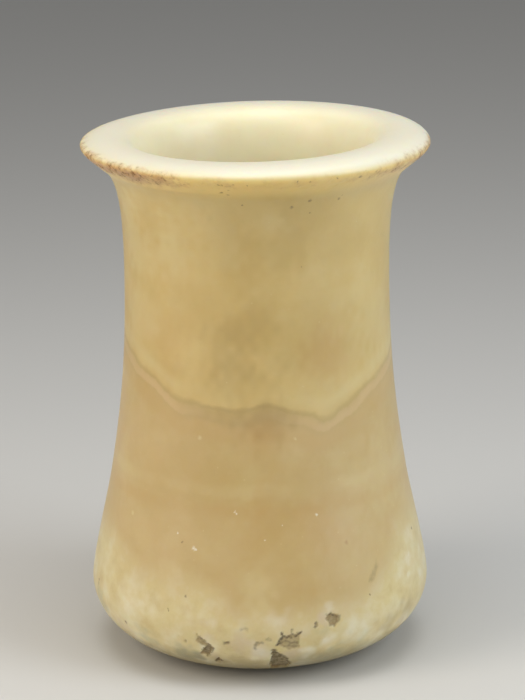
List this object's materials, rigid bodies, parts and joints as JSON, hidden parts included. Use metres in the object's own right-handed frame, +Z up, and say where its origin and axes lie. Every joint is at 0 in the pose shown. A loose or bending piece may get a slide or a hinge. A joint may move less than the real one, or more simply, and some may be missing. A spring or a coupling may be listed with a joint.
{
  "type": "calcite vase",
  "caption": "Ancient carved calcite beaker vase: rounded flaring foot, waisted body, rolled out-turned lip, hollow and open at the top.",
  "frame": {"origin": "middle of the flat underside, on the surface the vase stands on", "axes": "+Z up along the vessel's axis, -Y towards the viewer of the picture, +X to the viewer's right"},
  "size_m": [0.0986, 0.0986, 0.1507],
  "materials": {
    "calcite": "softly polished translucent banded calcite, honey to cream, with brown dirt in small pits"
  },
  "bodies": {
    "root": {"vase": "calcite"}
  },
  "joints": []
}
